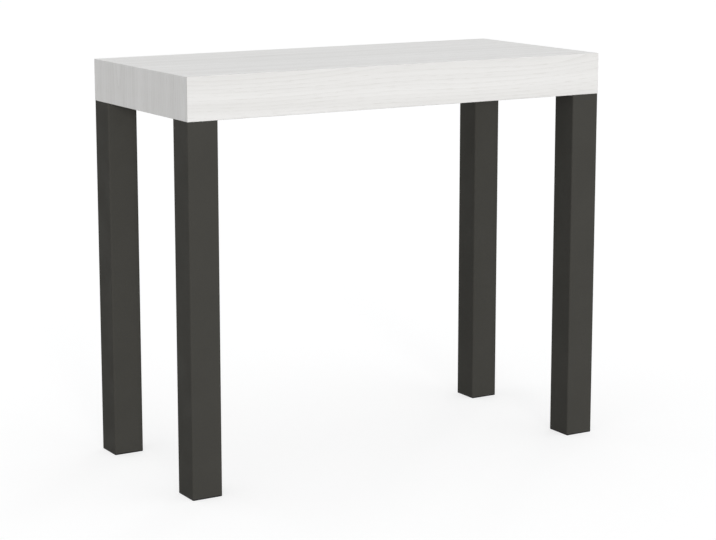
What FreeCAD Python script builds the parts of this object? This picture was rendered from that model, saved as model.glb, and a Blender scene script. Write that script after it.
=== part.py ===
"""Extending console table: two half tops on telescopic aluminium rails, carried by four square steel legs.

Millimetres, +Z up. The origin is on the floor, under the middle of the closed table.
X runs along the table's width and Y through its depth.
The front half, at -Y, stays where it stands. The rear half slides away to +Y and draws the rails out.
"""

import FreeCAD
import Part

import math
import os

Vector = FreeCAD.Vector
ORIGIN = Vector(0, 0, 0)
X_AXIS = Vector(1, 0, 0)
Y_AXIS = Vector(0, 1, 0)
Z_AXIS = Vector(0, 0, 1)
NEAR = Part.Precision.confusion()

# Table and its hollow slab
TABLE_WIDTH = 900.0
TABLE_DEPTH = 400.0
TABLE_HEIGHT = 770.0
SLAB_HEIGHT = 80.0
BOARD_THICKNESS = 18.0
EDGE_RADIUS = 1.0
SPLIT_GAP = 0.1
SPLIT_CHAMFER = 0.25

# Legs and their plastic foot caps
LEG_SIDE = 60.0
LEG_WALL = 2.0
LEG_CORNER_RADIUS = 3.0
LEG_BORE_RADIUS = 1.0
CAP_RIM = 2.5
CAP_RIM_CHAMFER = 0.6
CAP_WALL = 2.5
CAP_PLUG_DEPTH = 24.0
CAP_FIN_COUNT = 3
CAP_FIN_THICKNESS = 1.2
CAP_FIN_REACH = 0.8
CAP_CLEARANCE = 0.1

# Leg plates, bolts, threaded inserts and corner blocks
PLATE_SIDE = 110.0
PLATE_THICKNESS = 4.0
PLATE_CORNER_RADIUS = 8.0
PLATE_CLEARANCE = 0.5
BLOCK_CHAMFER = 12.0
BOLT_DIAMETER = 6.0
BOLT_LENGTH = 24.0
BOLT_HEAD_DIAMETER = 12.0
BOLT_HEAD_HEIGHT = 3.3
BOLT_HEAD_ROUND = 1.8
BOLT_SOCKET_SIDES = 6
BOLT_SOCKET_WIDTH = 4.0
BOLT_SOCKET_DEPTH = 2.0
BOLT_EDGE_DISTANCE = 16.0
BOLT_HOLE_CLEARANCE = 0.3
INSERT_DIAMETER = 9.0
INSERT_LENGTH = 13.0
THREAD_CLEARANCE = 0.1
HOLE_SPARE_DEPTH = 2.0

# Telescopic rails of one extrusion, with a slot on the outer side and a tongue on the inner side
RAILS_PER_SIDE = 7
RAIL_WIDTH = 11.0
RAIL_HEIGHT = 40.0
RAIL_GAP = 0.6
RAIL_END_GAP = 4.0
RAIL_TOP_GAP = 1.0
RAIL_ARRIS = 0.8
RAIL_WALL = 2.0
SLOT_LIP = 2.2
SLOT_MOUTH = 10.0
SLOT_HEIGHT = 20.0
SLOT_DEPTH = 5.0
TONGUE_CLEARANCE = 0.4
GLIDE_LENGTH = 47.75
GLIDE_THICKNESS = 1.2
GLIDE_RUNNING_GAP = 0.2

# Brackets that hang the end rails under the boards, and their screws
BRACKET_LENGTH = 40.0
BRACKET_FLANGE = 20.0
BRACKET_DROP = 14.0
BRACKET_THICKNESS = 2.0
BRACKET_MARGIN = 12.0
BRACKET_BLOCK_GAP = 10.0
SCREW_DIAMETER = 4.0
SCREW_LENGTH = 10.0
SCREW_HEAD_DIAMETER = 7.4
SCREW_HEAD_HEIGHT = 2.2
SCREW_HEAD_ROUND = 1.2
SCREW_CROSS_LENGTH = 4.0
SCREW_CROSS_WIDTH = 0.9
SCREW_CROSS_DEPTH = 1.2
SCREW_CLEARANCE = 0.1
SCREW_SPACING = 24.0

# Pins that line up the two half tops
PIN_DIAMETER = 8.0
PIN_SPACING = 330.0
PIN_SEAT = 16.0
PIN_REACH = 12.0
PIN_CHAMFER = 1.5
PIN_SEAT_CLEARANCE = 0.05
PIN_CLEARANCE = 0.3

# Swing hooks under the seam, with a pivot stud on the front half and a keeper stud on the rear half
LOCK_BRACKET_GAP = 20.0
LOCK_SETBACK = 26.0
LOCK_AIR = 0.5
HOOK_THICKNESS = 2.5
HOOK_WIDTH = 18.0
HOOK_TIP = 14.0
HOOK_TAB_DROP = 12.0
STUD_DIAMETER = 5.0
STUD_SEAT = 10.0
STUD_HEAD_DIAMETER = 11.0
STUD_HEAD_HEIGHT = 2.5
STUD_HEAD_ROUND = 1.0
PIVOT_CLEARANCE = 0.05
KEEPER_CLEARANCE = 0.4

# Overrun of every cut past the face that it leaves
OVERRUN = 5.0

# Levels and faces that the pieces share
HALF_WIDTH = TABLE_WIDTH / 2
HALF_DEPTH = TABLE_DEPTH / 2
SPLIT_Y = SPLIT_GAP / 2
SLAB_UNDER = TABLE_HEIGHT - SLAB_HEIGHT
BOARD_UNDER = TABLE_HEIGHT - BOARD_THICKNESS
INNER_X = HALF_WIDTH - BOARD_THICKNESS
INNER_Y = HALF_DEPTH - BOARD_THICKNESS
PLATE_X = INNER_X - PLATE_CLEARANCE
PLATE_Y = INNER_Y - PLATE_CLEARANCE
PLATE_TOP = SLAB_UNDER + PLATE_THICKNESS
BLOCK_SIDE = PLATE_SIDE + PLATE_CLEARANCE
PIN_Z = TABLE_HEIGHT - BOARD_THICKNESS / 2

# Places and sizes along and across the rails
RAIL_END = INNER_Y - RAIL_END_GAP
RAIL_LENGTH = 2 * RAIL_END
RAIL_PITCH = RAIL_WIDTH + RAIL_GAP
RAIL_SET_X = INNER_X - BLOCK_SIDE - BRACKET_BLOCK_GAP - BRACKET_FLANGE
RAIL_SET_WIDTH = RAILS_PER_SIDE * RAIL_PITCH - RAIL_GAP
RAIL_MID_Z = BOARD_UNDER - RAIL_TOP_GAP - RAIL_HEIGHT / 2
GLIDE_SPACE = GLIDE_THICKNESS + GLIDE_RUNNING_GAP
SLOT_FLOOR = SLOT_LIP + SLOT_DEPTH
SLOT_TOP = SLOT_HEIGHT / 2
NECK_TOP = SLOT_MOUTH / 2 - TONGUE_CLEARANCE
HEAD_TOP = SLOT_TOP - GLIDE_SPACE
HEAD_START = RAIL_PITCH + SLOT_LIP + TONGUE_CLEARANCE
HEAD_END = RAIL_PITCH + SLOT_FLOOR - GLIDE_SPACE
CHAMBER_LOW = SLOT_TOP + RAIL_WALL
CHAMBER_HIGH = RAIL_HEIGHT / 2 - RAIL_WALL
CHAMBER_MID = (CHAMBER_LOW + CHAMBER_HIGH) / 2

# Places, levels and radii of the swing hooks
LOCK_X = RAIL_SET_X - RAIL_SET_WIDTH - BRACKET_FLANGE - LOCK_BRACKET_GAP
HOOK_TOP = BOARD_UNDER - LOCK_AIR
HOOK_UNDER = HOOK_TOP - HOOK_THICKNESS
HOOK_REACH = 2 * LOCK_SETBACK
STUD_HEAD_TOP = HOOK_UNDER - LOCK_AIR
STUD_LENGTH = BOARD_UNDER + STUD_SEAT - STUD_HEAD_TOP
NOTCH_HALF = STUD_DIAMETER / 2 + KEEPER_CLEARANCE


def span_box(x_span, y_span, z_span):
    """A box between two places on each axis, given in either order."""
    spans = [sorted(span) for span in (x_span, y_span, z_span)]
    low = Vector(*[span[0] for span in spans])
    size = Vector(*[span[1] for span in spans]) - low
    return Part.makeBox(size.x, size.y, size.z, low)


def prism(corners, direction):
    """A flat outline pushed along a direction."""
    outline = Part.makePolygon(corners + corners[:1])
    return Part.Face(outline).extrude(direction)


def prism_x(corners):
    """A (y, z) outline that runs the whole width and past it."""
    points = [Vector(-HALF_WIDTH - OVERRUN, y, z) for y, z in corners]
    return prism(points, X_AXIS * (TABLE_WIDTH + 2 * OVERRUN))


def prism_y(corners):
    """An (x, z) outline that runs the whole depth and past it."""
    points = [Vector(x, -HALF_DEPTH - OVERRUN, z) for x, z in corners]
    return prism(points, Y_AXIS * (TABLE_DEPTH + 2 * OVERRUN))


def prism_z(corners):
    """An (x, y) outline that runs the slab's height and past it."""
    points = [Vector(x, y, SLAB_UNDER - OVERRUN) for x, y in corners]
    return prism(points, Z_AXIS * (SLAB_HEIGHT + 2 * OVERRUN))


def across_x(shape):
    """The mirror image at the other end of the table."""
    return shape.mirror(ORIGIN, X_AXIS)


def across_y(shape):
    """The mirror image in the other half of the table."""
    return shape.mirror(ORIGIN, Y_AXIS)


def both_ends(shape):
    """A left piece and its mirror image on the right."""
    return [shape, across_x(shape)]


def placed(shape, place, direction):
    """A copy of a piece that points up, turned to a direction and moved to its place."""
    copy = shape.copy()
    copy.Placement = FreeCAD.Placement(place, FreeCAD.Rotation(Z_AXIS, direction))
    return copy


def upright_edges(shape):
    """The straight edges of a box-like shape that stand along Z."""
    found = []
    for edge in shape.Edges:
        start, end = [vertex.Point for vertex in edge.Vertexes]
        if (end - start).cross(Z_AXIS).Length < NEAR:
            found.append(edge)
    return found


def edges_at_height(shape, height):
    """The edges that lie level at one height."""
    return [edge for edge in shape.Edges if all(abs(v.Point.z - height) < NEAR for v in edge.Vertexes)]


def in_split(edge):
    """Whether an edge lies in the face where the front half meets the rear half."""
    return all(abs(vertex.Point.y + SPLIT_Y) < NEAR for vertex in edge.Vertexes)


def rounded_post(x_span, y_span, z_span, radius):
    """An upright box with rounded corners."""
    block = span_box(x_span, y_span, z_span)
    return block.makeFillet(radius, upright_edges(block))


def corner_post(inset, z_span, radius):
    """An upright post on the front left leg's square, drawn in by an inset."""
    x_span = (-HALF_WIDTH + inset, -HALF_WIDTH + LEG_SIDE - inset)
    y_span = (-HALF_DEPTH + inset, -HALF_DEPTH + LEG_SIDE - inset)
    return rounded_post(x_span, y_span, z_span, radius)


def headed_pin(diameter, length, head_diameter, head_height, head_round):
    """A pin that points up from the origin, with a rounded head under it."""
    head = Part.makeCylinder(head_diameter / 2, head_height, Vector(0, 0, -head_height))
    head = head.makeFillet(head_round, edges_at_height(head, -head_height))
    return head.fuse(Part.makeCylinder(diameter / 2, length)).removeSplitter()


def cross_recess(head_height):
    """The cross that a screwdriver turns, cut in from the bottom of a head."""
    z_span = (-head_height - OVERRUN, -head_height + SCREW_CROSS_DEPTH)
    long_span = (-SCREW_CROSS_LENGTH / 2, SCREW_CROSS_LENGTH / 2)
    short_span = (-SCREW_CROSS_WIDTH / 2, SCREW_CROSS_WIDTH / 2)
    return span_box(long_span, short_span, z_span).fuse(span_box(short_span, long_span, z_span))


def hole(place, direction, radius, depth):
    """A cutter for a blind hole that starts outside the face it enters."""
    return Part.makeCylinder(radius, depth + OVERRUN, place - direction * OVERRUN, direction)


def slab_block():
    """The front half's outer form, softened on its outer edges and lightly chamfered at the split."""
    block = span_box((-HALF_WIDTH, HALF_WIDTH), (-HALF_DEPTH, -SPLIT_Y), (SLAB_UNDER, TABLE_HEIGHT))
    block = block.makeFillet(EDGE_RADIUS, [edge for edge in block.Edges if not in_split(edge)])
    return block.makeChamfer(SPLIT_CHAMFER, [edge for edge in block.Edges if in_split(edge)])


def top_board():
    """The front half's top, mitred along its front and both ends."""
    outer = [(-HALF_DEPTH, TABLE_HEIGHT), (0, TABLE_HEIGHT)]
    profile = prism_x(outer + [(0, BOARD_UNDER), (-INNER_Y, BOARD_UNDER)])
    ends = [(-HALF_WIDTH, TABLE_HEIGHT), (HALF_WIDTH, TABLE_HEIGHT)]
    end_mitres = prism_y(ends + [(INNER_X, BOARD_UNDER), (-INNER_X, BOARD_UNDER)])
    return slab_block().common(profile).common(end_mitres)


def long_apron():
    """The front apron, mitred to the top and to the end aprons."""
    outer = [(-HALF_DEPTH, SLAB_UNDER), (-HALF_DEPTH, TABLE_HEIGHT)]
    profile = prism_x(outer + [(-INNER_Y, BOARD_UNDER), (-INNER_Y, SLAB_UNDER)])
    ends = [(-HALF_WIDTH, -HALF_DEPTH), (HALF_WIDTH, -HALF_DEPTH)]
    end_mitres = prism_z(ends + [(INNER_X, -INNER_Y), (-INNER_X, -INNER_Y)])
    return slab_block().common(profile).common(end_mitres)


def end_apron():
    """The front half's left end apron, mitred to the top and to the front apron."""
    outer = [(-HALF_WIDTH, SLAB_UNDER), (-HALF_WIDTH, TABLE_HEIGHT)]
    profile = prism_y(outer + [(-INNER_X, BOARD_UNDER), (-INNER_X, SLAB_UNDER)])
    plan = [(-HALF_WIDTH, 0), (-HALF_WIDTH, -HALF_DEPTH)]
    corner_mitre = prism_z(plan + [(-INNER_X, -INNER_Y), (-INNER_X, 0)])
    return slab_block().common(profile).common(corner_mitre)


def leg():
    """The front left square tube."""
    tube = corner_post(0, (CAP_RIM, SLAB_UNDER), LEG_CORNER_RADIUS)
    return tube.cut(corner_post(LEG_WALL, (CAP_RIM - OVERRUN, SLAB_UNDER + OVERRUN), LEG_BORE_RADIUS))


def foot_cap():
    """The front left cap: a rim that the leg stands on and a finned plug inside the tube."""
    rim = corner_post(0, (0, CAP_RIM), LEG_CORNER_RADIUS)
    cap = rim.makeChamfer(CAP_RIM_CHAMFER, edges_at_height(rim, 0))
    fin_inset = LEG_WALL + CAP_CLEARANCE
    plug_inset = fin_inset + CAP_FIN_REACH
    plug_top = CAP_RIM + CAP_PLUG_DEPTH
    cap = cap.fuse(corner_post(plug_inset, (CAP_RIM, plug_top), LEG_BORE_RADIUS))
    fin_pitch = CAP_PLUG_DEPTH / CAP_FIN_COUNT
    for number in range(CAP_FIN_COUNT):
        fin_mid = CAP_RIM + fin_pitch * (number + 1) - fin_pitch / 2
        fin_span = (fin_mid - CAP_FIN_THICKNESS / 2, fin_mid + CAP_FIN_THICKNESS / 2)
        cap = cap.fuse(corner_post(fin_inset, fin_span, LEG_BORE_RADIUS))
    return cap.cut(corner_post(plug_inset + CAP_WALL, (CAP_RIM, plug_top + OVERRUN), LEG_BORE_RADIUS))


def bolt_places():
    """Where the front left leg's three bolts pass the underside of its plate."""
    near = BOLT_EDGE_DISTANCE
    far = PLATE_SIDE - BOLT_EDGE_DISTANCE
    return [Vector(x - PLATE_X, y - PLATE_Y, SLAB_UNDER) for x, y in ((far, near), (near, far), (far, far))]


def leg_plate():
    """The plate on the front left leg's top, with a hole for each bolt."""
    x_span = (-PLATE_X, -PLATE_X + PLATE_SIDE)
    y_span = (-PLATE_Y, -PLATE_Y + PLATE_SIDE)
    plate = rounded_post(x_span, y_span, (SLAB_UNDER, PLATE_TOP), PLATE_CORNER_RADIUS)
    for place in bolt_places():
        depth = PLATE_THICKNESS + OVERRUN
        plate = plate.cut(hole(place, Z_AXIS, BOLT_DIAMETER / 2 + BOLT_HOLE_CLEARANCE, depth))
    return plate


def corner_block():
    """The wood block over the front left leg plate, drilled for the inserts and the bolt ends."""
    x_span = (-INNER_X, -INNER_X + BLOCK_SIDE)
    y_span = (-INNER_Y, -INNER_Y + BLOCK_SIDE)
    block = span_box(x_span, y_span, (PLATE_TOP, BOARD_UNDER))
    inner_edge = max(upright_edges(block), key=lambda edge: edge.CenterOfMass.x + edge.CenterOfMass.y)
    block = block.makeChamfer(BLOCK_CHAMFER, [inner_edge])
    for place in bolt_places():
        mouth = place + Z_AXIS * PLATE_THICKNESS
        bolt_depth = BOLT_LENGTH - PLATE_THICKNESS + HOLE_SPARE_DEPTH
        block = block.cut(hole(mouth, Z_AXIS, INSERT_DIAMETER / 2 + THREAD_CLEARANCE, INSERT_LENGTH))
        block = block.cut(hole(mouth, Z_AXIS, BOLT_DIAMETER / 2 + BOLT_HOLE_CLEARANCE, bolt_depth))
    return block


def threaded_inserts():
    """The three inserts in the front left block, flush with its underside."""
    sleeve = Part.makeCylinder(INSERT_DIAMETER / 2, INSERT_LENGTH)
    sleeve = sleeve.cut(hole(ORIGIN, Z_AXIS, BOLT_DIAMETER / 2 + THREAD_CLEARANCE, INSERT_LENGTH + OVERRUN))
    return [placed(sleeve, place + Z_AXIS * PLATE_THICKNESS, Z_AXIS) for place in bolt_places()]


def leg_bolts():
    """The three button-head bolts of the front left leg, each with a six-sided socket."""
    head = (BOLT_HEAD_DIAMETER, BOLT_HEAD_HEIGHT, BOLT_HEAD_ROUND)
    bolt = headed_pin(BOLT_DIAMETER, BOLT_LENGTH, *head)
    across = BOLT_SOCKET_WIDTH / 2 / math.cos(math.pi / BOLT_SOCKET_SIDES)
    turns = [2 * math.pi * number / BOLT_SOCKET_SIDES for number in range(BOLT_SOCKET_SIDES)]
    start = -BOLT_HEAD_HEIGHT - OVERRUN
    corners = [Vector(across * math.cos(turn), across * math.sin(turn), start) for turn in turns]
    bolt = bolt.cut(prism(corners, Z_AXIS * (BOLT_SOCKET_DEPTH + OVERRUN)))
    return [placed(bolt, place, Z_AXIS) for place in bolt_places()]


def rail_x(number):
    """The outer side of a left rail, counted from 1 at the outside."""
    return -RAIL_SET_X + (number - 1) * RAIL_PITCH


def rail_prism(number, outline, y_start, length):
    """An outline of (distance from the rail's outer side, height from its middle) along the rail."""
    points = [Vector(rail_x(number) + across, y_start, RAIL_MID_Z + up) for across, up in outline]
    return prism(points, Y_AXIS * length)


def rail_outline(has_tongue):
    """The extrusion's outer line: chamfered corners, a slot and, on all but the last rail, a tongue."""
    top = RAIL_HEIGHT / 2
    upper = [(RAIL_WIDTH, top - RAIL_ARRIS), (RAIL_WIDTH - RAIL_ARRIS, top), (RAIL_ARRIS, top)]
    upper += [(0, top - RAIL_ARRIS), (0, SLOT_MOUTH / 2), (SLOT_LIP, SLOT_MOUTH / 2)]
    upper += [(SLOT_LIP, SLOT_TOP), (SLOT_FLOOR, SLOT_TOP)]
    if has_tongue:
        head = [(HEAD_END, HEAD_TOP), (HEAD_START, HEAD_TOP)]
        neck = [(HEAD_START, NECK_TOP), (RAIL_WIDTH, NECK_TOP)]
        upper = head + neck + upper
    lower = [(across, -up) for across, up in reversed(upper)]
    return upper + lower


def rail(number):
    """A left rail with its two hollow chambers."""
    bar = rail_prism(number, rail_outline(number < RAILS_PER_SIDE), -RAIL_END, RAIL_LENGTH)
    x_span = (rail_x(number) + RAIL_WALL, rail_x(number) + RAIL_WIDTH - RAIL_WALL)
    y_span = (-RAIL_END - OVERRUN, RAIL_END + OVERRUN)
    for side in (-1, 1):
        z_span = (RAIL_MID_Z + side * CHAMBER_LOW, RAIL_MID_Z + side * CHAMBER_HIGH)
        bar = bar.cut(span_box(x_span, y_span, z_span))
    return bar


def glide_outline(start, floor, top):
    """A thin channel inside a floor and a top and bottom, open towards its start."""
    inner_floor = floor - GLIDE_THICKNESS
    inner_top = top - GLIDE_THICKNESS
    upper = [(floor, top), (start, top), (start, inner_top), (inner_floor, inner_top)]
    return upper + [(across, -up) for across, up in reversed(upper)]


def slot_glide(number):
    """The glide fixed in a left rail's slot at its front end, where a tongue glide stops against it."""
    return rail_prism(number, glide_outline(SLOT_LIP, SLOT_FLOOR, SLOT_TOP), -RAIL_END, GLIDE_LENGTH)


def tongue_glide(number):
    """The glide fixed on a left rail's tongue at its rear end."""
    outline = glide_outline(HEAD_START, HEAD_END + GLIDE_THICKNESS, HEAD_TOP + GLIDE_THICKNESS)
    return rail_prism(number, outline, RAIL_END - GLIDE_LENGTH, GLIDE_LENGTH)


def bracket_middles():
    """The middles of the two brackets along the front half of a rail."""
    outer = RAIL_END - BRACKET_MARGIN - BRACKET_LENGTH / 2
    inner = SPLIT_Y + BRACKET_MARGIN + BRACKET_LENGTH / 2
    return [-outer, -inner]


# The left end rails, each with the side it is held on, that side's direction and its bracket places
FRONT_RAIL = (-RAIL_SET_X, -1, bracket_middles())
REAR_RAIL = (rail_x(RAILS_PER_SIDE) + RAIL_WIDTH, 1, [-middle for middle in bracket_middles()])


def board_screw_places(held_rail):
    """Where the bracket screws of a left end rail pass up into the board."""
    side, outward, middles = held_rail
    x = side + outward * (BRACKET_THICKNESS + BRACKET_FLANGE) / 2
    shifts = (-SCREW_SPACING / 2, SCREW_SPACING / 2)
    return [Vector(x, middle + shift, BOARD_UNDER) for middle in middles for shift in shifts]


def rail_screw_places(held_rail):
    """Where the bracket screws of a left end rail enter the rail's upper chamber."""
    side, outward, middles = held_rail
    return [Vector(side, middle, RAIL_MID_Z + CHAMBER_MID) for middle in middles]


def rail_holes(held_rail):
    """Cutters for the bracket screws in the wall of a left end rail."""
    inward = X_AXIS * -held_rail[1]
    radius = SCREW_DIAMETER / 2 + SCREW_CLEARANCE
    depth = RAIL_WALL + HOLE_SPARE_DEPTH
    return [hole(place, inward, radius, depth) for place in rail_screw_places(held_rail)]


def brackets(held_rail):
    """The two angle brackets of a left end rail, drilled for their screws."""
    side, outward, middles = held_rail
    edge = side + outward * BRACKET_FLANGE
    web = side + outward * BRACKET_THICKNESS
    flange_under = BOARD_UNDER - BRACKET_THICKNESS
    drop_end = BOARD_UNDER - BRACKET_DROP
    outline = [(side, BOARD_UNDER), (edge, BOARD_UNDER), (edge, flange_under)]
    outline += [(web, flange_under), (web, drop_end), (side, drop_end)]
    radius = SCREW_DIAMETER / 2 + SCREW_CLEARANCE
    made = []
    for middle in middles:
        start = middle - BRACKET_LENGTH / 2
        angle = prism([Vector(x, start, z) for x, z in outline], Y_AXIS * BRACKET_LENGTH)
        for place in board_screw_places(held_rail):
            angle = angle.cut(hole(place, Z_AXIS * -1, radius, BRACKET_THICKNESS + OVERRUN))
        for place in rail_screw_places(held_rail):
            angle = angle.cut(hole(place, X_AXIS * outward, radius, BRACKET_THICKNESS + OVERRUN))
        made.append(angle)
    return made


def bracket_screws(held_rail):
    """The screws of a left end rail's brackets, up into the board and sideways into the rail."""
    head = (SCREW_HEAD_DIAMETER, SCREW_HEAD_HEIGHT, SCREW_HEAD_ROUND)
    screw = headed_pin(SCREW_DIAMETER, SCREW_LENGTH, *head).cut(cross_recess(SCREW_HEAD_HEIGHT))
    outward = X_AXIS * held_rail[1]
    under = Z_AXIS * -BRACKET_THICKNESS
    made = [placed(screw, place + under, Z_AXIS) for place in board_screw_places(held_rail)]
    beside = outward * BRACKET_THICKNESS
    made += [placed(screw, place + beside, outward * -1) for place in rail_screw_places(held_rail)]
    return made


def board_holes(held_rail):
    """Cutters in a half's board for the bracket screws under both ends."""
    radius = SCREW_DIAMETER / 2 + SCREW_CLEARANCE
    depth = SCREW_LENGTH - BRACKET_THICKNESS + HOLE_SPARE_DEPTH
    cutters = []
    for place in board_screw_places(held_rail):
        cutters += both_ends(hole(place, Z_AXIS, radius, depth))
    return cutters


def pin_places():
    """Where the pins cross the seam."""
    return [Vector(shift * PIN_SPACING, 0, PIN_Z) for shift in (-1, 0, 1)]


def alignment_pins():
    """The pins, seated in the rear board and reaching into the front board."""
    start = -SPLIT_Y - PIN_REACH
    length = SPLIT_GAP + PIN_REACH + PIN_SEAT
    pins = []
    for place in pin_places():
        pin = Part.makeCylinder(PIN_DIAMETER / 2, length, place + Y_AXIS * start, Y_AXIS)
        rims = [edge for edge in pin.Edges if edge.Curve.TypeId == "Part::GeomCircle"]
        pins.append(pin.makeChamfer(PIN_CHAMFER, rims))
    return pins


def pin_holes(direction, clearance, depth):
    """Cutters for the pins in a board that lies on one side of the seam."""
    face = direction * SPLIT_Y
    return [hole(place + face, direction, PIN_DIAMETER / 2 + clearance, depth) for place in pin_places()]


def stud_place(side):
    """Where a left stud enters the board, on the rear side of the seam for 1 and the front side for -1."""
    return Vector(-LOCK_X, side * LOCK_SETBACK, BOARD_UNDER)


def stud(side):
    """A left shouldered stud that stands in the board with its head under the hook."""
    head = (STUD_HEAD_DIAMETER, STUD_HEAD_HEIGHT, STUD_HEAD_ROUND)
    pin = headed_pin(STUD_DIAMETER, STUD_LENGTH, *head).cut(cross_recess(STUD_HEAD_HEIGHT))
    foot = stud_place(side)
    return placed(pin, Vector(foot.x, foot.y, STUD_HEAD_TOP), Z_AXIS)


def stud_holes(side):
    """Cutters in a board for the left and the right stud."""
    radius = STUD_DIAMETER / 2 + SCREW_CLEARANCE
    return both_ends(hole(stud_place(side), Z_AXIS, radius, STUD_SEAT + HOLE_SPARE_DEPTH))


def lock_hook():
    """The left hook, swung clear of the seam: an arm on its pivot, a notch for the keeper and a tab."""
    pivot = stud_place(-1)
    base = Vector(pivot.x, pivot.y, HOOK_UNDER)
    end = pivot.x + HOOK_REACH + HOOK_TIP
    y_span = (pivot.y - HOOK_WIDTH / 2, pivot.y + HOOK_WIDTH / 2)
    hook = Part.makeCylinder(HOOK_WIDTH / 2, HOOK_THICKNESS, base)
    hook = hook.fuse(span_box((pivot.x, end), y_span, (HOOK_UNDER, HOOK_TOP)))
    hook = hook.fuse(span_box((end - HOOK_THICKNESS, end), y_span, (HOOK_TOP, HOOK_UNDER - HOOK_TAB_DROP)))
    z_span = (HOOK_UNDER - OVERRUN, HOOK_TOP + OVERRUN)
    depth = HOOK_THICKNESS + OVERRUN
    hook = hook.cut(hole(base, Z_AXIS, STUD_DIAMETER / 2 + PIVOT_CLEARANCE, depth))
    sweep = hole(base, Z_AXIS, HOOK_REACH + NOTCH_HALF, depth)
    sweep = sweep.cut(hole(base, Z_AXIS, HOOK_REACH - NOTCH_HALF, depth))
    sweep = sweep.common(span_box((pivot.x, end), (pivot.y, pivot.y + HOOK_WIDTH), z_span))
    seat = hole(base + X_AXIS * HOOK_REACH, Z_AXIS, NOTCH_HALF, depth)
    return hook.cut(sweep.fuse(seat)).removeSplitter()


def cut_all(shape, cutters):
    """A piece with every cutter taken out of it."""
    for cutter in cutters:
        shape = shape.cut(cutter)
    return shape


def save(name, pieces):
    """One solid, or a group of separate solids, as a node."""
    solids = [solid for piece in pieces for solid in piece.Solids]
    shape = solids[0] if len(solids) == 1 else Part.makeCompound(solids)
    shape.exportStep("parts/" + name + ".step")


def save_half(half, to_half):
    """The boards' sides, legs and leg fastenings of one half, built at the front and carried to it."""
    apron_end = to_half(end_apron())
    save(half + "_apron", [to_half(long_apron())])
    save(half + "_left_end_apron", [apron_end])
    save(half + "_right_end_apron", [across_x(apron_end)])
    for piece, name in ((leg(), "leg"), (foot_cap(), "foot_cap")):
        left = to_half(piece)
        save(half + "_left_" + name, [left])
        save(half + "_right_" + name, [across_x(left)])
    groups = {
        "leg_plates": [leg_plate()],
        "corner_blocks": [corner_block()],
        "leg_bolts": leg_bolts(),
        "threaded_inserts": threaded_inserts(),
    }
    for name, pieces in groups.items():
        save(half + "_" + name, [end for piece in pieces for end in both_ends(to_half(piece))])


def save_boards():
    """The two half tops, each drilled for its own brackets, pins and studs."""
    front = cut_all(top_board(), board_holes(FRONT_RAIL) + stud_holes(-1))
    front = cut_all(front, pin_holes(Y_AXIS * -1, PIN_CLEARANCE, PIN_REACH + HOLE_SPARE_DEPTH))
    rear = cut_all(across_y(top_board()), board_holes(REAR_RAIL) + stud_holes(1))
    rear = cut_all(rear, pin_holes(Y_AXIS, PIN_SEAT_CLEARANCE, PIN_SEAT))
    save("front_top_board", [front])
    save("rear_top_board", [rear])


def save_rails():
    """Both sets of rails with their glides."""
    for number in range(1, RAILS_PER_SIDE + 1):
        bar = rail(number)
        if number == 1:
            bar = cut_all(bar, rail_holes(FRONT_RAIL))
        if number == RAILS_PER_SIDE:
            bar = cut_all(bar, rail_holes(REAR_RAIL))
        save("left_rail_%d" % number, [bar])
        save("right_rail_%d" % number, [across_x(bar)])
    for number in range(2, RAILS_PER_SIDE):
        glides = [slot_glide(number), tongue_glide(number)]
        save("left_glides_%d" % number, glides)
        save("right_glides_%d" % number, [across_x(glide) for glide in glides])
    save("front_rail_glides", both_ends(tongue_glide(1)))
    save("rear_rail_glides", both_ends(slot_glide(RAILS_PER_SIDE)))


def save_fittings():
    """The brackets and screws of the end rails, the pins and the swing hooks."""
    for half, held_rail in (("front", FRONT_RAIL), ("rear", REAR_RAIL)):
        for name, pieces in (("brackets", brackets(held_rail)), ("screws", bracket_screws(held_rail))):
            save(half + "_rail_" + name, [end for piece in pieces for end in both_ends(piece)])
    save("alignment_pins", alignment_pins())
    save("left_lock_hook", [lock_hook()])
    save("right_lock_hook", [across_x(lock_hook())])
    save("lock_pivots", both_ends(stud(-1)))
    save("lock_keepers", both_ends(stud(1)))


os.makedirs("parts", exist_ok=True)
save_half("front", lambda piece: piece)
save_half("rear", across_y)
save_boards()
save_rails()
save_fittings()
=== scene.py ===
"""Looks of an extending console table: pale ash boards, dark powder-coated legs and bright rails inside.

Sizes are in metres, as in the frame: X runs along the table's width, Y through its depth and Z up.
"""

import math

import bpy
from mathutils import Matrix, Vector


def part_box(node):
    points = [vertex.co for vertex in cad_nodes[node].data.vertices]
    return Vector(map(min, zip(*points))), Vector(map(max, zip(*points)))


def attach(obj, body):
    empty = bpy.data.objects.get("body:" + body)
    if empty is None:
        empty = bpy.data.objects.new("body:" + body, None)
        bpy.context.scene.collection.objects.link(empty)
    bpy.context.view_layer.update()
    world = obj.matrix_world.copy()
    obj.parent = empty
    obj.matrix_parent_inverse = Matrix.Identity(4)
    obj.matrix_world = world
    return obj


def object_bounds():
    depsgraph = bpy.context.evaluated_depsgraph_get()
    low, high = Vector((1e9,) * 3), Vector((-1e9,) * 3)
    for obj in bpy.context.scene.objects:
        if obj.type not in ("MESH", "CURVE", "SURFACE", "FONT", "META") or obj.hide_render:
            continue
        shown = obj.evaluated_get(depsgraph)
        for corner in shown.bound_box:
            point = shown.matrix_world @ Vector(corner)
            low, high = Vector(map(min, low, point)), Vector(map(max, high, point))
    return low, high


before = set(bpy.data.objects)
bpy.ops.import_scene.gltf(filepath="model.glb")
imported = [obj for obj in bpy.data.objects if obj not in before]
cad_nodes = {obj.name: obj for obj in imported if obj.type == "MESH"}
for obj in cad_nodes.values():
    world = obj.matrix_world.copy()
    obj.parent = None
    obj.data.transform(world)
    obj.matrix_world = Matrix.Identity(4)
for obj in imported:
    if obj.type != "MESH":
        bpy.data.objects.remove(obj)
cad_low, cad_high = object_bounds()

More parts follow.
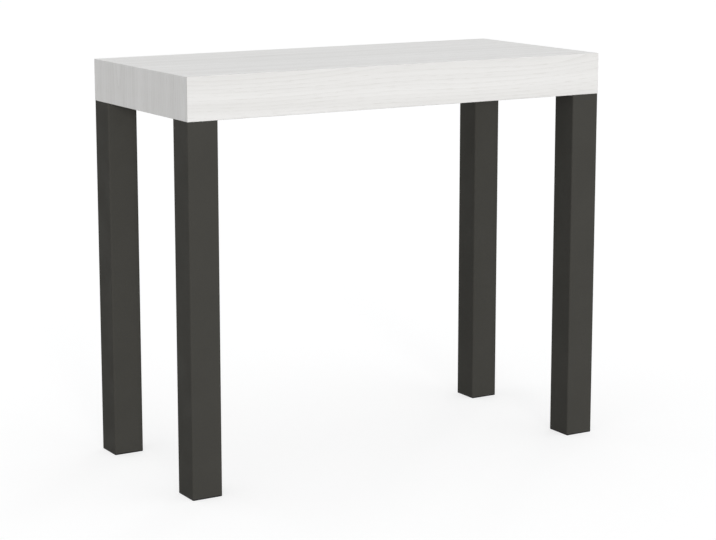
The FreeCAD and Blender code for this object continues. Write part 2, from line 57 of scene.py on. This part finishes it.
# The picture's width in pixels, and the camera fitted to the slab's corners and the feet
PHOTO_WIDTH = 716
CAMERA_PLACE = (-2.01824, -3.39664, 1.13315)
CAMERA_YAW = 0.5400
CAMERA_PITCH = 0.1769
CAMERA_FOCAL_PIXELS = 2039.43
CAMERA_SHIFT_PIXELS = -40.0
SENSOR_WIDTH = 36.0

# The studio: soft light from all round, strongest from overhead, two soft low lamps and a pale floor
WALL_LIGHT = 0.38
OVERHEAD_LIGHT = 0.96
AIR_COLOUR = (0.994, 1.0, 1.006, 1.0)
BACKDROP_LIGHT = 1.0
WHITE = (1.0, 1.0, 1.0, 1.0)
FRONT_LAMP_TURN = math.radians(15.0)
FRONT_LAMP_STRENGTH = 1.80
BACK_LAMP_TURN = math.radians(230.0)
BACK_LAMP_STRENGTH = 0.90
LAMP_RISE = math.radians(4.0)
LAMP_SPREAD = math.radians(12.0)
LAMP_DISTANCE = 4.0
LAMP_COLOUR = (1.0, 0.992, 0.982)
FLOOR_REACH = 20.0
FLOOR_SHADE = (0.40, 0.40, 0.40, 1.0)
FLOOR_LIFT = 0.685

# The table's own sizes and pieces, read from the frame
TOP = cad_high.z
HALF_WIDTH = cad_high.x
HALF_DEPTH = cad_high.y
LEG_LOW, LEG_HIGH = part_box("front_left_leg")
PLATE_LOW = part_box("front_leg_plates")[0]
HALVES = ("front", "rear")
SIDES = ("left", "right")
RAILS_PER_SIDE = sum(name.startswith("left_rail_") for name in cad_nodes)


def paint(red, green, blue):
    """A colour given in a picture's steps of 0 to 255, made linear by the standard screen curve."""
    steps = [value / 255.0 for value in (red, green, blue)]
    return tuple(s / 12.92 if s <= 0.04045 else ((s + 0.055) / 1.055) ** 2.4 for s in steps) + (1.0,)


# Turns of a pattern, and an even share
UNTURNED = (0.0, 0.0, 0.0)
QUARTER = math.pi / 2
HALF = 0.5

# Soft noise mostly keeps between the near pair, and hardly leaves the far pair
NEAR_NOISE = (0.35, 0.65)
FAR_NOISE = (0.30, 0.70)

# Crown-cut grain: a stretch is a pattern's repeats in a metre along, across and into the board
HEART_LEAN = 0.3
DIP_STRETCH = (1.1, 3.0, 3.0)
DIP_NOISE = (0.25, 0.75)
DIP_DEPTHS = (0.006, 0.06)
WAVER_STRETCH = (1.5, 26.0, 26.0)
WAVER_RINGS = 2.0
EARLY_WOOD_FADE = 2.5
EARLY_WOOD_VESSELS = 0.12
PATCH_STRETCH = (3.0, 20.0, 20.0)
PATCH_SHARES = (0.25, 1.0)
VESSEL_STRETCH = (32.0, 1300.0, 1300.0)
VESSEL_NOISE = (0.63, 0.77)
FIBRE_STRETCH = (25.0, 500.0, 500.0)
FIBRE_RELIEF_SHARE = 0.3
STREAK_STRETCH = (0.9, 30.0, 30.0)
STREAK_NOISE = (0.32, 0.68)

# Pebbled skin and drawn lines
MOTTLES_PER_METRE = 14.0
SPECK_RELIEF_SHARE = 0.4
SKIN_RELIEF = 0.7
LINE_STRETCH = (1.0, 0.012, 1.0)
COARSE_LINES_PER_FINE = 0.2
SMUDGES_PER_METRE = 22.0
LINE_DEPTH = 0.00005
LINE_RELIEF = 0.5

# White ash: its shades, the size and place of its grain, and what each part of the grain adds
ASH_PALE = paint(236, 235.3, 234)
ASH_RING = paint(225, 224, 222)
ASH_PORE = paint(216, 214.5, 211)
ASH_RING_WIDTH = 0.0065
ASH_LEAF_HALF = 0.14
ASH_SHIFT_ALONG = 0.7
ASH_SHIFT_ACROSS = 0.19
ASH_RING_TONE = 0.45
ASH_FIBRE_TONE = 0.20
ASH_STREAK_TONE = 0.60
ASH_ROUGHNESS = 0.42
ASH_TONE_ROUGHNESS = 0.08
ASH_PORE_ROUGHNESS = 0.16
ASH_DEPTH = 0.00012
ASH_RELIEF = 0.6
WOOD_SPECULAR = 0.3

# Birch plywood and beech, both left raw; the glue's half width is a share of a veneer
BIRCH_PALE = paint(222, 196, 156)
BIRCH_DARK = paint(196, 163, 118)
BIRCH_GLUE = paint(120, 86, 56)
BIRCH_VENEER = 0.0014
BIRCH_RING_WIDTH = 0.011
BIRCH_LEAF_HALF = 0.2
BIRCH_FIBRE_TONE = 0.6
BIRCH_TURNED_TONE = 0.45
BIRCH_ROUGHNESS = (0.55, 0.70)
GLUE_HALF_WIDTH = 0.09
GLUE_STRENGTH = 0.7
BEECH_PALE = paint(214, 178, 140)
BEECH_DARK = paint(178, 134, 96)
BEECH_RING_WIDTH = 0.004
BEECH_LEAF_HALF = 0.1
BEECH_FIBRE_TONE = 0.6
BEECH_FLECK_TONE = 0.5
BEECH_FLECK_STRETCH = (400.0, 2600.0, 2600.0)
BEECH_FLECK_NOISE = (0.58, 0.66)
BEECH_ROUGHNESS = (0.50, 0.62)
RAW_WOOD_DEPTH = 0.0001
RAW_WOOD_RELIEF = 0.5

# Coat and plastics
ANTHRACITE = paint(72, 71, 67)
ANTHRACITE_DARK = paint(66, 65, 61.5)
CAP_BLACK = paint(30, 30, 31)
CAP_GREY = paint(42, 42, 43)
NYLON = paint(228, 227, 221)
NYLON_SHADE = paint(214, 212, 203)

# Metals: their shades, and what lines and smudges add to shade and dullness
ALUMINIUM = paint(206, 207, 209)
ALUMINIUM_DARK = paint(178, 180, 183)
ZINC = paint(190, 194, 199)
ZINC_DARK = paint(158, 163, 170)
YELLOW_ZINC = paint(214, 188, 120)
YELLOW_ZINC_DARK = paint(182, 150, 96)
METAL_LINE_SHADE = 0.6
METAL_SMUDGE_SHADE = 0.4
METAL_LINE_DULLING = 0.4
METAL_SMUDGE_DULLING = 0.6

# Weld beads under the leg plates
BEAD_RADIUS = 0.0028
BEAD_RIPPLE = 0.0004
BEAD_PITCH = 0.0022
BEAD_STEP = 0.0005
BEAD_SIDES = 12


# Node helpers

def add(tree, kind, inputs=None, **options):
    """Adds a node, sets its options, and fills or links its inputs by name or number."""
    node = tree.nodes.new(kind)
    for name, value in options.items():
        setattr(node, name, value)
    for name, value in (inputs or {}).items():
        socket = node.inputs[name]
        if isinstance(value, bpy.types.NodeSocket):
            tree.links.new(value, socket)
        else:
            socket.default_value = value
    return node


def sums(tree, operation, *values):
    """One step of arithmetic."""
    return add(tree, "ShaderNodeMath", dict(enumerate(values)), operation=operation).outputs[0]


def weighed(tree, first, *others):
    """The sum of values times their shares, each given as a pair."""
    total = sums(tree, "MULTIPLY", *first)
    for value, share in others:
        total = sums(tree, "MULTIPLY_ADD", value, share, total)
    return total


def stretched(tree, place, amounts):
    """A place scaled by its own amount along each axis, so that a pattern runs long along the smallest."""
    inputs = {0: place, 1: amounts}
    return add(tree, "ShaderNodeVectorMath", inputs, operation="MULTIPLY").outputs[0]


def turned(tree, place, turn, shift=UNTURNED):
    """A place turned about the origin and then shifted."""
    inputs = {"Vector": place, "Rotation": turn, "Location": shift}
    return add(tree, "ShaderNodeMapping", inputs).outputs[0]


def cloudy(tree, place, scale=1.0, detail=2.0):
    """Soft noise between 0 and 1."""
    inputs = {"Vector": place, "Scale": scale, "Detail": detail}
    return add(tree, "ShaderNodeTexNoise", inputs).outputs[0]


def eased(tree, value, span, results=(0.0, 1.0)):
    """A value eased from one range to another."""
    inputs = dict(enumerate((value, *span, *results)))
    return add(tree, "ShaderNodeMapRange", inputs, interpolation_type="SMOOTHSTEP").outputs[0]


def blended(tree, factor, first, second):
    """One colour turning into another as the factor goes from 0 to 1."""
    # A mix node has its colours on inputs 6 and 7 and output 2
    inputs = {0: factor, 6: first, 7: second}
    return add(tree, "ShaderNodeMix", inputs, data_type="RGBA").outputs[2]


def shader_group(name, takes, gives):
    """A shader group with named inputs and outputs: its tree, and the sockets that bring and give."""
    tree = bpy.data.node_groups.new(name, "ShaderNodeTree")
    for label, kind in takes.items():
        tree.interface.new_socket(label, in_out="INPUT", socket_type=kind)
    for label in gives:
        tree.interface.new_socket(label, in_out="OUTPUT", socket_type="NodeSocketFloat")
    return tree, add(tree, "NodeGroupInput").outputs, add(tree, "NodeGroupOutput").inputs


def use(tree, group, inputs):
    """A shader group placed in a material with its own values."""
    return add(tree, "ShaderNodeGroup", inputs, node_tree=group).outputs


def new_finish(name, **plain):
    """A new finish with its plain shader values: material, tree, shader and the piece's coordinates."""
    material = bpy.data.materials.new(name)
    material.use_nodes = True
    tree = material.node_tree
    shader = tree.nodes["Principled BSDF"]
    for label, value in plain.items():
        shader.inputs[label.replace("_", " ")].default_value = value
    return material, tree, shader, add(tree, "ShaderNodeTexCoord").outputs["Object"]


def join(tree, shader, colour, roughness, height, depth, strength):
    """Joins a finish's varying colour, roughness and relief to its shader."""
    inputs = {"Strength": strength, "Distance": depth, "Height": height}
    relief = add(tree, "ShaderNodeBump", inputs).outputs[0]
    tree.links.new(colour, shader.inputs["Base Color"])
    tree.links.new(roughness, shader.inputs["Roughness"])
    tree.links.new(relief, shader.inputs["Normal"])


# Effects that several finishes share

def make_grain():
    """Crown-cut grain: the place's X runs along the grain, Y across it and Z into the board."""
    takes = {"Place": "NodeSocketVector", "Ring Width": "NodeSocketFloat",
             "Leaf Half Width": "NodeSocketFloat"}
    tree, bring, give = shader_group("crown_cut_grain", takes,
                                     ("Ring", "Streak", "Pores", "Fibre", "Relief"))
    place = bring["Place"]
    axes = add(tree, "ShaderNodeSeparateXYZ", {0: place}).outputs

    # Leaves lie side by side, each with its heart in the middle, and rings lie round the heart.
    # The heart comes nearer to the face and goes deeper, which draws the arches.
    across = sums(tree, "MULTIPLY_ADD", axes["Z"], HEART_LEAN, axes["Y"])
    across = sums(tree, "PINGPONG", across, bring["Leaf Half Width"])
    dip = cloudy(tree, stretched(tree, place, DIP_STRETCH), detail=1.0)
    dip = eased(tree, dip, DIP_NOISE, DIP_DEPTHS)
    squares = sums(tree, "MULTIPLY_ADD", dip, dip, sums(tree, "MULTIPLY", across, across))
    waver = cloudy(tree, stretched(tree, place, WAVER_STRETCH), detail=3.0)
    rings = sums(tree, "DIVIDE", sums(tree, "SQRT", squares), bring["Ring Width"])
    rings = sums(tree, "MULTIPLY_ADD", waver, WAVER_RINGS, rings)
    early = sums(tree, "SUBTRACT", 1.0, sums(tree, "FRACT", rings))
    early = sums(tree, "POWER", early, EARLY_WOOD_FADE)
    patch = cloudy(tree, stretched(tree, place, PATCH_STRETCH))
    patch = eased(tree, patch, NEAR_NOISE, PATCH_SHARES)

    # Open vessels crowd in the early wood of each ring, between fine fibres and broad streaks
    vessels = cloudy(tree, stretched(tree, place, VESSEL_STRETCH))
    vessels = sums(tree, "MULTIPLY_ADD", early, EARLY_WOOD_VESSELS, vessels)
    pores = eased(tree, vessels, VESSEL_NOISE)
    fibre = cloudy(tree, stretched(tree, place, FIBRE_STRETCH), detail=3.0)
    raised = sums(tree, "MULTIPLY", fibre, FIBRE_RELIEF_SHARE)
    streak = cloudy(tree, stretched(tree, place, STREAK_STRETCH), detail=3.0)
    tree.links.new(sums(tree, "MULTIPLY", early, patch), give["Ring"])
    tree.links.new(eased(tree, streak, STREAK_NOISE), give["Streak"])
    tree.links.new(pores, give["Pores"])
    tree.links.new(fibre, give["Fibre"])
    tree.links.new(sums(tree, "SUBTRACT", raised, pores), give["Relief"])
    return tree


def make_skin():
    """The fine pebbled skin of a baked powder coat or of moulded plastic."""
    takes = {"Place": "NodeSocketVector", "Pebble Size": "NodeSocketFloat"}
    tree, bring, give = shader_group("pebbled_skin", takes, ("Mottle", "Speck", "Relief"))
    place = bring["Place"]
    fineness = sums(tree, "DIVIDE", 1.0, bring["Pebble Size"])
    inputs = {"Vector": place, "Scale": fineness}
    pebbles = add(tree, "ShaderNodeTexVoronoi", inputs, feature="SMOOTH_F1").outputs["Distance"]
    speck = cloudy(tree, place, fineness, detail=1.0)
    tree.links.new(cloudy(tree, place, MOTTLES_PER_METRE, detail=4.0), give["Mottle"])
    tree.links.new(eased(tree, speck, NEAR_NOISE), give["Speck"])
    tree.links.new(sums(tree, "MULTIPLY_ADD", speck, SPECK_RELIEF_SHARE, pebbles), give["Relief"])
    return tree


def make_drawn_lines():
    """The long lines, fine and coarse, that a die or a roller leaves on metal, along the place's Y."""
    takes = {"Place": "NodeSocketVector", "Line Width": "NodeSocketFloat"}
    tree, bring, give = shader_group("drawn_lines", takes, ("Line", "Smudge", "Relief"))
    place = bring["Place"]
    fineness = sums(tree, "DIVIDE", 1.0, bring["Line Width"])
    coarseness = sums(tree, "MULTIPLY", fineness, COARSE_LINES_PER_FINE)
    along = stretched(tree, place, LINE_STRETCH)
    fine = cloudy(tree, along, fineness, detail=3.0)
    coarse = cloudy(tree, along, coarseness)
    line = weighed(tree, (fine, HALF), (coarse, HALF))
    tree.links.new(eased(tree, line, NEAR_NOISE), give["Line"])
    tree.links.new(cloudy(tree, place, SMUDGES_PER_METRE, detail=4.0), give["Smudge"])
    tree.links.new(line, give["Relief"])
    return tree


GRAIN = make_grain()
SKIN = make_skin()
DRAWN_LINES = make_drawn_lines()


# Finishes

def ash_board(name, turn, shift):
    """White ash board; turn and shift unroll this side, so that the grain flows over the slab's edges."""
    material, tree, shader, place = new_finish(name, Specular_IOR_Level=WOOD_SPECULAR)
    sizes = {"Ring Width": ASH_RING_WIDTH, "Leaf Half Width": ASH_LEAF_HALF}
    grain = use(tree, GRAIN, {"Place": turned(tree, place, turn, shift), **sizes})
    tone = weighed(tree, (grain["Ring"], ASH_RING_TONE), (grain["Fibre"], ASH_FIBRE_TONE),
                   (grain["Streak"], ASH_STREAK_TONE))
    colour = blended(tree, tone, ASH_PALE, ASH_RING)
    colour = blended(tree, grain["Pores"], colour, ASH_PORE)
    roughness = sums(tree, "MULTIPLY_ADD", tone, ASH_TONE_ROUGHNESS, ASH_ROUGHNESS)
    roughness = sums(tree, "MULTIPLY_ADD", grain["Pores"], ASH_PORE_ROUGHNESS, roughness)
    join(tree, shader, colour, roughness, grain["Relief"], ASH_DEPTH, ASH_RELIEF)
    return material


def pebbled(name, light, dark, pebble, dullness, depth, **plain):
    """A powder coat or moulded plastic: two close shades, mottled, with a pebbled skin."""
    material, tree, shader, place = new_finish(name, **plain)
    skin = use(tree, SKIN, {"Place": place, "Pebble Size": pebble})
    shade = weighed(tree, (skin["Mottle"], HALF), (skin["Speck"], HALF))
    colour = blended(tree, shade, light, dark)
    roughness = eased(tree, skin["Mottle"], FAR_NOISE, dullness)
    join(tree, shader, colour, roughness, skin["Relief"], depth, SKIN_RELIEF)
    return material


def lined_metal(name, light, dark, line, dullness, turn=UNTURNED):
    """Drawn or rolled metal: fine lines along one way, and faint smudges that change its gloss."""
    material, tree, shader, place = new_finish(name, Metallic=1.0)
    lines = use(tree, DRAWN_LINES, {"Place": turned(tree, place, turn), "Line Width": line})
    shade = weighed(tree, (lines["Smudge"], METAL_SMUDGE_SHADE), (lines["Line"], METAL_LINE_SHADE))
    colour = blended(tree, shade, light, dark)
    dulling = weighed(tree, (lines["Line"], METAL_LINE_DULLING), (lines["Smudge"], METAL_SMUDGE_DULLING))
    roughness = eased(tree, dulling, FAR_NOISE, dullness)
    join(tree, shader, colour, roughness, lines["Relief"], LINE_DEPTH, LINE_RELIEF)
    return material


def birch_block():
    """Birch plywood: thin veneers, every second one turned crosswise, and dark glue lines between."""
    material, tree, shader, place = new_finish("birch_block", Specular_IOR_Level=WOOD_SPECULAR)
    height = add(tree, "ShaderNodeSeparateXYZ", {0: place}).outputs["Z"]
    veneers = sums(tree, "DIVIDE", height, BIRCH_VENEER)
    crosswise = sums(tree, "FLOORED_MODULO", sums(tree, "FLOOR", veneers), 2.0)
    from_glue = sums(tree, "PINGPONG", veneers, HALF)
    glue = eased(tree, from_glue, (0.0, GLUE_HALF_WIDTH), (1.0, 0.0))
    sizes = {"Ring Width": BIRCH_RING_WIDTH, "Leaf Half Width": BIRCH_LEAF_HALF}
    along = use(tree, GRAIN, {"Place": place, **sizes})["Fibre"]
    across = use(tree, GRAIN, {"Place": turned(tree, place, (0.0, 0.0, QUARTER)), **sizes})["Fibre"]
    # A mix node has its plain values on inputs 2 and 3 and output 0
    fibre = add(tree, "ShaderNodeMix", {0: crosswise, 2: along, 3: across}).outputs[0]
    shade = weighed(tree, (fibre, BIRCH_FIBRE_TONE), (crosswise, BIRCH_TURNED_TONE))
    colour = blended(tree, shade, BIRCH_PALE, BIRCH_DARK)
    colour = blended(tree, sums(tree, "MULTIPLY", glue, GLUE_STRENGTH), colour, BIRCH_GLUE)
    roughness = eased(tree, fibre, FAR_NOISE, BIRCH_ROUGHNESS)
    join(tree, shader, colour, roughness, fibre, RAW_WOOD_DEPTH, RAW_WOOD_RELIEF)
    return material


def beech_dowel():
    """Beech with short dark flecks along the dowel, which lies along Y."""
    material, tree, shader, place = new_finish("beech_dowel", Specular_IOR_Level=WOOD_SPECULAR)
    along = turned(tree, place, (0.0, 0.0, -QUARTER))
    sizes = {"Ring Width": BEECH_RING_WIDTH, "Leaf Half Width": BEECH_LEAF_HALF}
    grain = use(tree, GRAIN, {"Place": along, **sizes})
    flecks = cloudy(tree, stretched(tree, along, BEECH_FLECK_STRETCH), detail=1.0)
    flecks = eased(tree, flecks, BEECH_FLECK_NOISE)
    shade = weighed(tree, (grain["Fibre"], BEECH_FIBRE_TONE), (flecks, BEECH_FLECK_TONE))
    colour = blended(tree, shade, BEECH_PALE, BEECH_DARK)
    roughness = eased(tree, grain["Fibre"], FAR_NOISE, BEECH_ROUGHNESS)
    join(tree, shader, colour, roughness, grain["Relief"], RAW_WOOD_DEPTH, RAW_WOOD_RELIEF)
    return material


# The slab's five faces are laid out flat round the top, each beyond the edge that it hangs from
OVER_EDGE_X = HALF_WIDTH + TOP
OVER_EDGE_Y = HALF_DEPTH + TOP
ASH_TOP = ash_board("white_ash_top", UNTURNED, (ASH_SHIFT_ALONG, ASH_SHIFT_ACROSS, -TOP))
ASH_FRONT = ash_board("white_ash_front", (-QUARTER, 0.0, 0.0),
                      (ASH_SHIFT_ALONG, ASH_SHIFT_ACROSS - OVER_EDGE_Y, -HALF_DEPTH))
ASH_REAR = ash_board("white_ash_rear", (QUARTER, 0.0, 0.0),
                     (ASH_SHIFT_ALONG, ASH_SHIFT_ACROSS + OVER_EDGE_Y, -HALF_DEPTH))
ASH_LEFT = ash_board("white_ash_left", (0.0, QUARTER, 0.0),
                     (ASH_SHIFT_ALONG - OVER_EDGE_X, ASH_SHIFT_ACROSS, -HALF_WIDTH))
ASH_RIGHT = ash_board("white_ash_right", (0.0, -QUARTER, 0.0),
                      (ASH_SHIFT_ALONG + OVER_EDGE_X, ASH_SHIFT_ACROSS, -HALF_WIDTH))
COAT = pebbled("anthracite_powder_coat", ANTHRACITE, ANTHRACITE_DARK,
               pebble=0.0011, dullness=(0.66, 0.80), depth=0.00012, Specular_IOR_Level=0.05)
CAP = pebbled("black_cap_plastic", CAP_BLACK, CAP_GREY,
              pebble=0.0008, dullness=(0.45, 0.60), depth=0.0001, Specular_IOR_Level=0.12)
GLIDE = pebbled("white_glide_nylon", NYLON, NYLON_SHADE,
                pebble=0.0006, dullness=(0.35, 0.50), depth=0.00006, Specular_IOR_Level=0.4)
RAIL = lined_metal("rail_aluminium_drawn", ALUMINIUM, ALUMINIUM_DARK,
                   line=0.0006, dullness=(0.26, 0.42))
STEEL = lined_metal("zinc_plated_steel", ZINC, ZINC_DARK,
                    line=0.0009, dullness=(0.28, 0.46), turn=(0.0, 0.0, QUARTER))
INSERT = lined_metal("yellow_zinc_steel", YELLOW_ZINC, YELLOW_ZINC_DARK,
                     line=0.0009, dullness=(0.28, 0.44))
BIRCH = birch_block()
BEECH = beech_dowel()


# Dressing the frame's pieces

def dress(finish, *names):
    """Gives frame pieces their finish."""
    for name in names:
        cad_nodes[name].material_slots[0].material = finish


dress(ASH_FRONT, "front_apron")
dress(ASH_REAR, "rear_apron")
dress(BEECH, "alignment_pins")
dress(STEEL, "left_lock_hook", "right_lock_hook", "lock_pivots", "lock_keepers")
for half in HALVES:
    dress(ASH_TOP, f"{half}_top_board")
    dress(ASH_LEFT, f"{half}_left_end_apron")
    dress(ASH_RIGHT, f"{half}_right_end_apron")
    dress(COAT, f"{half}_left_leg", f"{half}_right_leg", f"{half}_leg_plates")
    dress(CAP, f"{half}_left_foot_cap", f"{half}_right_foot_cap")
    dress(BIRCH, f"{half}_corner_blocks")
    dress(STEEL, f"{half}_leg_bolts", f"{half}_rail_brackets", f"{half}_rail_screws")
    dress(INSERT, f"{half}_threaded_inserts")
    dress(GLIDE, f"{half}_rail_glides")
for side in SIDES:
    dress(RAIL, *(f"{side}_rail_{number}" for number in range(1, RAILS_PER_SIDE + 1)))
    dress(GLIDE, *(f"{side}_glides_{number}" for number in range(2, RAILS_PER_SIDE)))


# Weld beads between the leg tubes and their plates

def make_bead_tree():
    """A weld bead along each line of a mesh, round, with ripples as the welder's hand leaves them."""
    tree = bpy.data.node_groups.new("weld_bead", "GeometryNodeTree")
    takes = {"Geometry": "NodeSocketGeometry", "Bead Radius": "NodeSocketFloat",
             "Ripple Depth": "NodeSocketFloat", "Ripple Pitch": "NodeSocketFloat",
             "Step Length": "NodeSocketFloat", "Bead Sides": "NodeSocketInt",
             "Finish": "NodeSocketMaterial"}
    for label, kind in takes.items():
        tree.interface.new_socket(label, in_out="INPUT", socket_type=kind)
    tree.interface.new_socket("Geometry", in_out="OUTPUT", socket_type="NodeSocketGeometry")
    bring = add(tree, "NodeGroupInput").outputs
    line = add(tree, "GeometryNodeMeshToCurve", {"Mesh": bring["Geometry"]}).outputs[0]
    steps = {"Curve": line, "Length": bring["Step Length"]}
    line = add(tree, "GeometryNodeResampleCurve", steps, mode="LENGTH").outputs[0]
    run = add(tree, "GeometryNodeSplineParameter").outputs["Length"]
    ripples = sums(tree, "DIVIDE", run, bring["Ripple Pitch"])
    wave = sums(tree, "SINE", sums(tree, "MULTIPLY", ripples, math.tau))
    size = sums(tree, "MULTIPLY_ADD", wave, bring["Ripple Depth"], bring["Bead Radius"])
    circle = {"Resolution": bring["Bead Sides"], "Radius": 1.0}
    profile = add(tree, "GeometryNodeCurvePrimitiveCircle", circle).outputs[0]
    sweep = {"Curve": line, "Profile Curve": profile, "Scale": size, "Fill Caps": True}
    bead = add(tree, "GeometryNodeCurveToMesh", sweep).outputs[0]
    bead = add(tree, "GeometryNodeRealizeInstances", {"Geometry": bead}).outputs[0]
    finished = {"Geometry": bead, "Material": bring["Finish"]}
    bead = add(tree, "GeometryNodeSetMaterial", finished).outputs[0]
    add(tree, "NodeGroupOutput", {0: bead})
    return tree


def set_sizes(modifier, tree, sizes):
    """Sets a tree's named inputs on a modifier by their identifiers."""
    for item in tree.interface.items_tree:
        if item.in_out == "INPUT" and item.name in sizes:
            modifier[item.identifier] = sizes[item.name]


def made_plain(name, lines, tree, sizes):
    """A plain mesh piece made by a tree from open lines of points."""
    points = [point for line in lines for point in line]
    edges = []
    start = 0
    for line in lines:
        edges += [(start + step, start + step + 1) for step in range(len(line) - 1)]
        start += len(line)
    sketch = bpy.data.meshes.new(name + "_lines")
    sketch.from_pydata(points, edges, [])
    piece = bpy.data.objects.new(name, sketch)
    bpy.context.scene.collection.objects.link(piece)
    modifier = piece.modifiers.new("made", "NODES")
    modifier.node_group = tree
    set_sizes(modifier, tree, sizes)
    graph = bpy.context.evaluated_depsgraph_get()
    plain = bpy.data.meshes.new_from_object(piece.evaluated_get(graph))
    piece.modifiers.remove(modifier)
    piece.data = plain
    bpy.data.meshes.remove(sketch)
    plain.name = name
    return piece


def weld_lines(half):
    """A line under each of one half's two plates, along the two sides of the leg that it overhangs."""
    reach_x = min(-PLATE_LOW.x, -LEG_LOW.x) - BEAD_RADIUS
    reach_y = min(-PLATE_LOW.y, -LEG_LOW.y) - BEAD_RADIUS
    inner_x = -LEG_HIGH.x
    inner_y = -LEG_HIGH.y
    height = LEG_HIGH.z
    out = -1.0 if half == "front" else 1.0
    lines = []
    for hand in (-1.0, 1.0):
        lines.append([(hand * reach_x, out * inner_y, height),
                      (hand * (inner_x + BEAD_RADIUS), out * inner_y, height),
                      (hand * inner_x, out * (inner_y + BEAD_RADIUS), height),
                      (hand * inner_x, out * reach_y, height)])
    return lines


BEAD_TREE = make_bead_tree()
BEAD_SIZES = {"Bead Radius": BEAD_RADIUS, "Ripple Depth": BEAD_RIPPLE, "Ripple Pitch": BEAD_PITCH,
              "Step Length": BEAD_STEP, "Bead Sides": BEAD_SIDES, "Finish": COAT}
for half in HALVES:
    beads = made_plain(f"{half}_weld_beads", weld_lines(half), BEAD_TREE, BEAD_SIZES)
    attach(beads, f"{half}_half")


# The studio

def seen_directly(tree):
    """1 for what is seen straight on, in a reflection or through glass, and 0 for light that falls."""
    path = add(tree, "ShaderNodeLightPath").outputs
    seen = sums(tree, "MAXIMUM", path["Is Camera Ray"], path["Is Glossy Ray"])
    return sums(tree, "MAXIMUM", seen, path["Is Transmission Ray"])


def light_the_air():
    """Soft light from all round, stronger from overhead than from the walls, and a white backdrop."""
    world = bpy.data.worlds.new("studio_air")
    bpy.context.scene.world = world
    world.use_nodes = True
    tree = world.node_tree
    tree.nodes.clear()
    direction = add(tree, "ShaderNodeTexCoord").outputs["Generated"]
    height = add(tree, "ShaderNodeSeparateXYZ", {0: direction}).outputs["Z"]
    steepness = sums(tree, "ABSOLUTE", height)
    strength = sums(tree, "MULTIPLY_ADD", steepness, OVERHEAD_LIGHT - WALL_LIGHT, WALL_LIGHT)
    soft = {"Color": AIR_COLOUR, "Strength": strength}
    falling = add(tree, "ShaderNodeBackground", soft).outputs[0]
    plain = {"Color": WHITE, "Strength": BACKDROP_LIGHT}
    behind = add(tree, "ShaderNodeBackground", plain).outputs[0]
    either = {0: seen_directly(tree), 1: falling, 2: behind}
    both = add(tree, "ShaderNodeMixShader", either).outputs[0]
    add(tree, "ShaderNodeOutputWorld", {"Surface": both})


def heading(turn, rise):
    """The direction that looks back along Y, turned to the right and raised."""
    level = math.cos(rise)
    return Vector((math.sin(turn) * level, math.cos(turn) * level, math.sin(rise)))


def stand_lamp(name, turn, strength):
    """A soft low lamp that shines along its heading, lights near and far alike and throws no glare."""
    data = bpy.data.lights.new(name, "SUN")
    data.energy = strength
    data.angle = LAMP_SPREAD
    data.color = LAMP_COLOUR
    shining = heading(turn, -LAMP_RISE)
    lamp = bpy.data.objects.new(name, data)
    lamp.location = shining * -LAMP_DISTANCE
    lamp.rotation_euler = shining.to_track_quat("-Z", "Y").to_euler()
    lamp.visible_glossy = False
    bpy.context.scene.collection.objects.link(lamp)


def lay_floor():
    """A pale floor that reads as white and keeps the table's soft shadow."""
    reach = FLOOR_REACH
    corners = [(-reach, -reach, 0.0), (reach, -reach, 0.0), (reach, reach, 0.0), (-reach, reach, 0.0)]
    mesh = bpy.data.meshes.new("floor")
    mesh.from_pydata(corners, [], [(0, 1, 2, 3)])
    material = bpy.data.materials.new("floor_pale")
    material.use_nodes = True
    tree = material.node_tree
    tree.nodes.clear()
    matt = add(tree, "ShaderNodeBsdfDiffuse", {"Color": FLOOR_SHADE}).outputs[0]
    lift = sums(tree, "MULTIPLY", seen_directly(tree), FLOOR_LIFT)
    glow = add(tree, "ShaderNodeEmission", {"Color": WHITE, "Strength": lift}).outputs[0]
    both = add(tree, "ShaderNodeAddShader", {0: matt, 1: glow}).outputs[0]
    add(tree, "ShaderNodeOutputMaterial", {"Surface": both})
    mesh.materials.append(material)
    floor = bpy.data.objects.new("floor", mesh)
    bpy.context.scene.collection.objects.link(floor)


def set_camera():
    """A long lens at the picture's angle, with the small shift that its framing needs."""
    data = bpy.data.cameras.new("camera")
    data.sensor_fit = "HORIZONTAL"
    data.sensor_width = SENSOR_WIDTH
    data.lens = CAMERA_FOCAL_PIXELS * SENSOR_WIDTH / PHOTO_WIDTH
    data.shift_y = CAMERA_SHIFT_PIXELS / PHOTO_WIDTH
    camera = bpy.data.objects.new("camera", data)
    camera.location = CAMERA_PLACE
    camera.rotation_euler = heading(CAMERA_YAW, -CAMERA_PITCH).to_track_quat("-Z", "Y").to_euler()
    bpy.context.scene.collection.objects.link(camera)
    bpy.context.scene.camera = camera


light_the_air()
stand_lamp("front_lamp", FRONT_LAMP_TURN, FRONT_LAMP_STRENGTH)
stand_lamp("back_lamp", BACK_LAMP_TURN, BACK_LAMP_STRENGTH)
lay_floor()
set_camera()
bpy.context.scene.view_settings.view_transform = "Standard"
